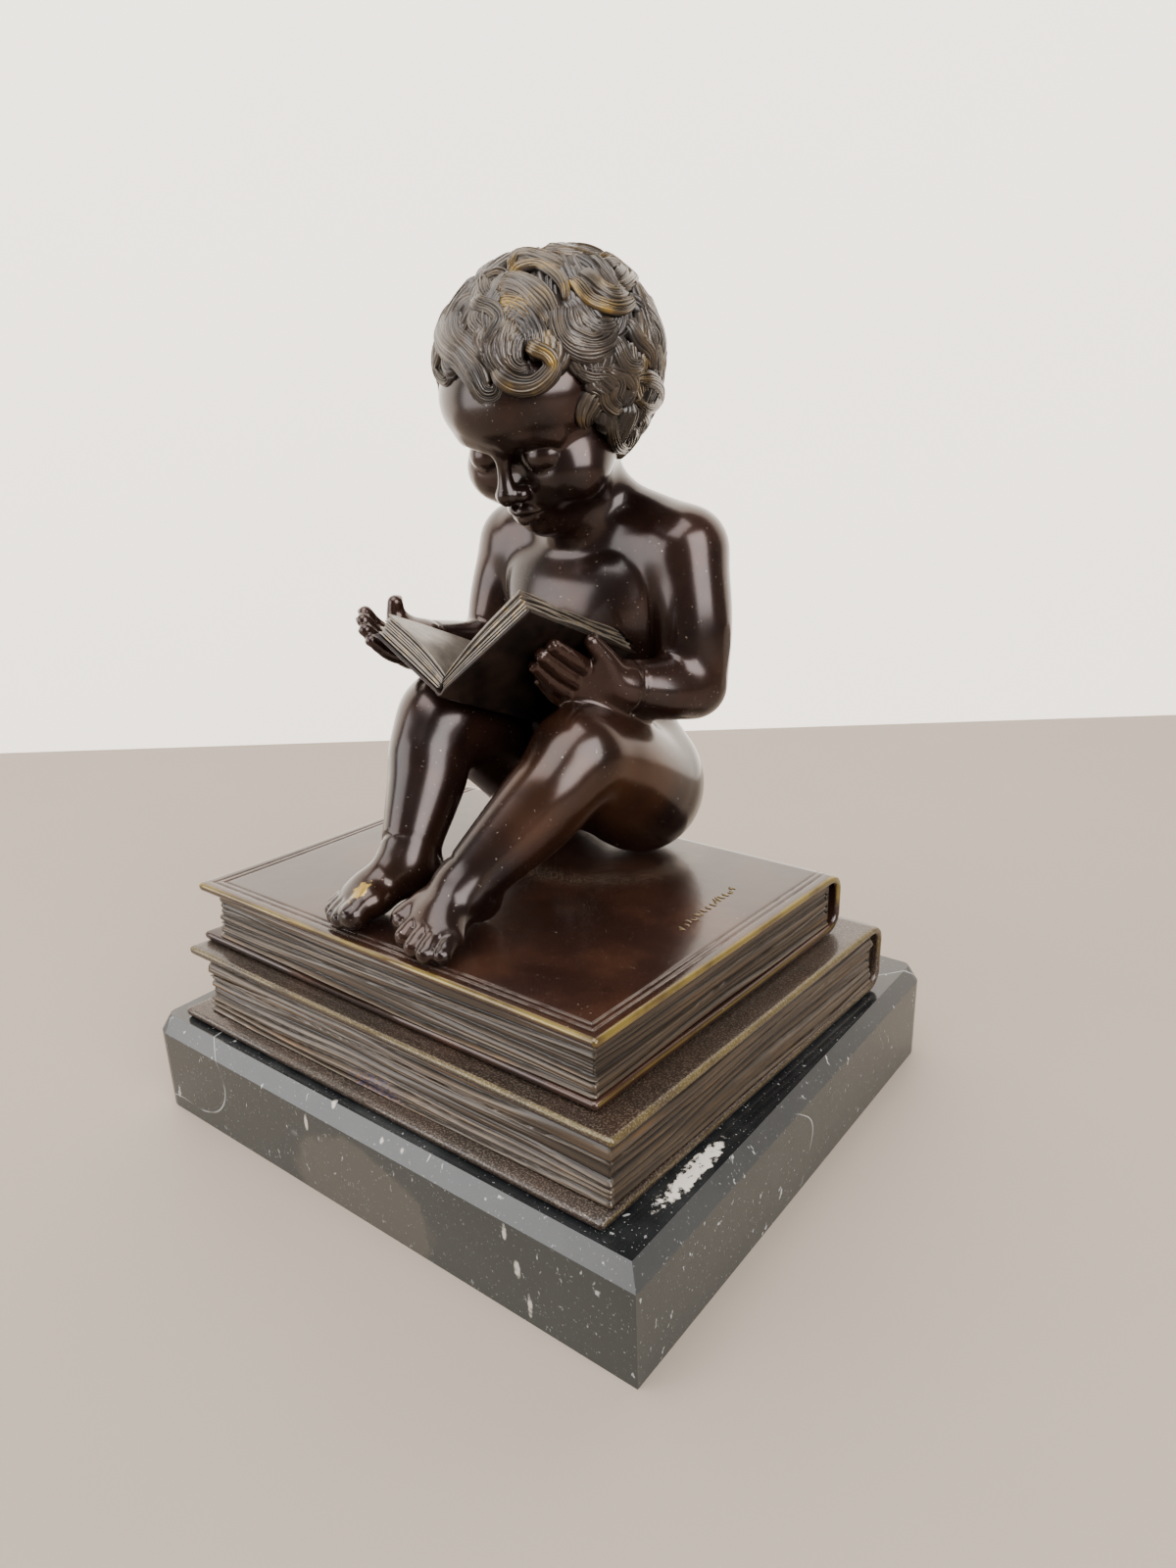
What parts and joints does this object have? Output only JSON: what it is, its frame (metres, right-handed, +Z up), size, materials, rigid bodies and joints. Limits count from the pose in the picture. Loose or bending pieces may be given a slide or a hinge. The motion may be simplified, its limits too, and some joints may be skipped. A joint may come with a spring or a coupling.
{
  "type": "bronze statue",
  "caption": "Small bronze of a seated child reading an open book, on a stack of closed books and a black marble plinth.",
  "frame": {"origin": "middle of the plinth's underside", "axes": "+Z up, the child faces -Y, so the child's left hand is on the +X side"},
  "size_m": [0.1744, 0.156, 0.2354],
  "materials": {
    "black_marble": null,
    "book_bronze": "cast bronze, grey-brown leaf edges with ochre rubs on a dark brown lacquer",
    "figure_bronze": "cast bronze, glossy dark chocolate patina, ochre rubs on the hair and toes",
    "open_book_bronze": "cast bronze, dark boards and grey-brown leaves with yellow rubs on the edges"
  },
  "bodies": {
    "root": {"marble_plinth": "black_marble", "stacked_books": "book_bronze", "seated_child": "figure_bronze", "open_book": "open_book_bronze"}
  },
  "joints": []
}
